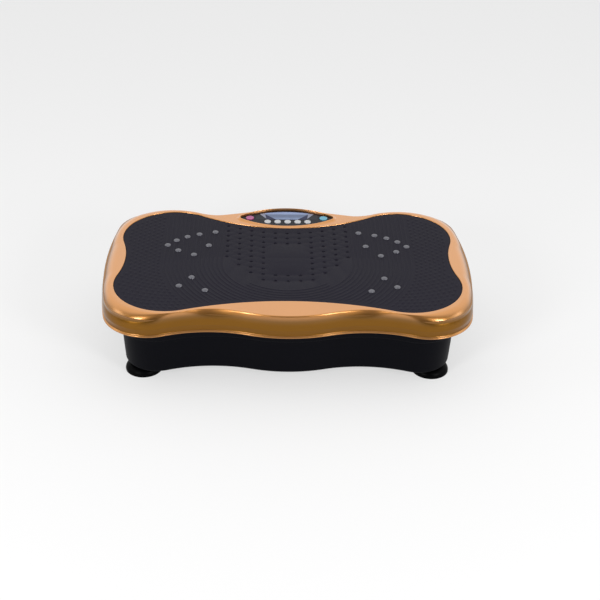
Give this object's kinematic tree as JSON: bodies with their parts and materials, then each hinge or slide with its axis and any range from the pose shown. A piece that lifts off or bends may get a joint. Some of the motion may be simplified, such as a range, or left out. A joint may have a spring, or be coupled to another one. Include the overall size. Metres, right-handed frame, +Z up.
{
  "type": "vibration plate",
  "caption": "Low rocking exercise platform with a gold rim, ridged foot mat, massage studs and a rear control panel on a black base with suction feet.",
  "frame": {"origin": "on the floor, under the middle of the platform", "axes": "+X to the user's right, +Y towards the rear where the control panel is, +Z up"},
  "size_m": [0.52, 0.31, 0.12],
  "materials": {
    "gold_paint": "satin metallic gold paint over moulded plastic",
    "black_plastic": "fine textured black moulding",
    "mat_rubber": "charcoal moulded rubber with grip holes",
    "stud_silver": "silver domed studs",
    "foot_rubber": "black soft rubber",
    "fascia_black": "glossy black overlay",
    "display_glass": "tinted display window",
    "button_white": "white moulded button",
    "button_magenta": "magenta moulded button",
    "button_cyan": "cyan moulded button",
    "rocker_red": "red rocker",
    "steel": "zinc-plated steel",
    "dark_steel": "dark steel",
    "casting": "black coated casting",
    "bronze": "sintered bronze",
    "aluminium": "plain aluminium",
    "belt_rubber": "ribbed black belt",
    "circuit_board": "green circuit board",
    "component_black": "black component body",
    "capacitor_blue": "blue sleeve",
    "terminal_green": "green terminal block",
    "lead_black": "black sheathed lead",
    "lead_white": "pale grey lead",
    "lead_red": "red sheathed lead"
  },
  "bodies": {
    "base": {"base_shell": "black_plastic", "chassis_plate": "steel", "front_pedestal": "casting", "rear_pedestal": "casting", "pivot_bushes": "bronze", "front_bearing_block": "casting", "rear_bearing_block": "casting", "crank_bearings": "steel", "motor_can": "dark_steel", "motor_magnets": "dark_steel", "motor_end_bells": "aluminium", "motor_cradle": "casting", "motor_strap": "steel", "drive_belt": "belt_rubber", "control_board": "circuit_board", "board_standoffs": "bronze", "capacitors": "capacitor_blue", "heat_sink": "aluminium", "transformer": "dark_steel", "terminal_blocks": "terminal_green", "power_inlet": "component_black", "inlet_pins": "steel", "fuse_drawer": "component_black", "front_left_foot": "foot_rubber", "front_right_foot": "foot_rubber", "rear_left_foot": "foot_rubber", "rear_right_foot": "foot_rubber", "foot_screws": "dark_steel", "drive_bolts": "dark_steel", "display_lead": "lead_white", "mains_lead": "lead_black", "motor_lead": "lead_red"},
    "platform": {"top_cover": "gold_paint", "foot_mat": "mat_rubber", "massage_studs": "stud_silver", "platform_frame": "steel", "pivot_pins": "steel", "pin_clips": "dark_steel", "drive_pin": "steel", "cover_screws": "dark_steel", "panel_fascia": "fascia_black", "display_window": "display_glass", "display_module": "component_black", "display_board": "circuit_board", "tact_switches": "component_black", "display_screws": "dark_steel"},
    "crank": {"crankshaft": "steel", "driven_pulley": "aluminium"},
    "rod": {"connecting_rod": "dark_steel", "rod_bearing": "bronze"},
    "rotor": {"motor_rotor": "dark_steel", "motor_pulley": "aluminium"},
    "rocker": {"rocker_switch": "rocker_red"},
    "button_1_cap": {"button_1": "button_white"},
    "button_2_cap": {"button_2": "button_white"},
    "button_3_cap": {"button_3": "button_white"},
    "button_4_cap": {"button_4": "button_white"},
    "button_5_cap": {"button_5": "button_white"},
    "left_button_cap": {"left_button": "button_magenta"},
    "right_button_cap": {"right_button": "button_cyan"}
  },
  "joints": [
    {"name": "platform_rock", "type": "hinge", "parent": "base", "child": "platform", "pos_m": [0, 0, 0.084], "axis": [0, 1, 0], "range_deg": [-1.5, 1.5]},
    {"name": "crank_spin", "type": "hinge", "parent": "base", "child": "crank", "pos_m": [0.065, 0, 0.054], "axis": [0, 1, 0], "continuous": true},
    {"name": "motor_spin", "type": "hinge", "parent": "base", "child": "rotor", "pos_m": [0.15, 0, 0.054], "axis": [0, 1, 0], "continuous": true},
    {"name": "rod_turn", "type": "hinge", "parent": "crank", "child": "rod", "pos_m": [0.0667, 0, 0.054], "axis": [0, 1, 0], "continuous": true},
    {"name": "power_rocker", "type": "hinge", "parent": "base", "child": "rocker", "pos_m": [0.0169, 0.127, 0.0435], "axis": [1, 0, 0], "range_deg": [0, 16]},
    {"name": "button_1_press", "type": "slide", "parent": "platform", "child": "button_1_cap", "axis": [0, 0, -1], "range_m": [0, 0.0005], "stiffness_N_per_m": 1000},
    {"name": "button_2_press", "type": "slide", "parent": "platform", "child": "button_2_cap", "axis": [0, 0, -1], "range_m": [0, 0.0005], "stiffness_N_per_m": 1000},
    {"name": "button_3_press", "type": "slide", "parent": "platform", "child": "button_3_cap", "axis": [0, 0, -1], "range_m": [0, 0.0005], "stiffness_N_per_m": 1000},
    {"name": "button_4_press", "type": "slide", "parent": "platform", "child": "button_4_cap", "axis": [0, 0, -1], "range_m": [0, 0.0005], "stiffness_N_per_m": 1000},
    {"name": "button_5_press", "type": "slide", "parent": "platform", "child": "button_5_cap", "axis": [0, 0, -1], "range_m": [0, 0.0005], "stiffness_N_per_m": 1000},
    {"name": "left_button_press", "type": "slide", "parent": "platform", "child": "left_button_cap", "axis": [0, 0, -1], "range_m": [0, 0.0005], "stiffness_N_per_m": 1000},
    {"name": "right_button_press", "type": "slide", "parent": "platform", "child": "right_button_cap", "axis": [0, 0, -1], "range_m": [0, 0.0005], "stiffness_N_per_m": 1000}
  ],
  "couplings": [
    {"joint": "motor_spin", "follows": "crank_spin", "ratio": 2.2048},
    {"joint": "rod_turn", "follows": "crank_spin", "ratio": -1}
  ]
}
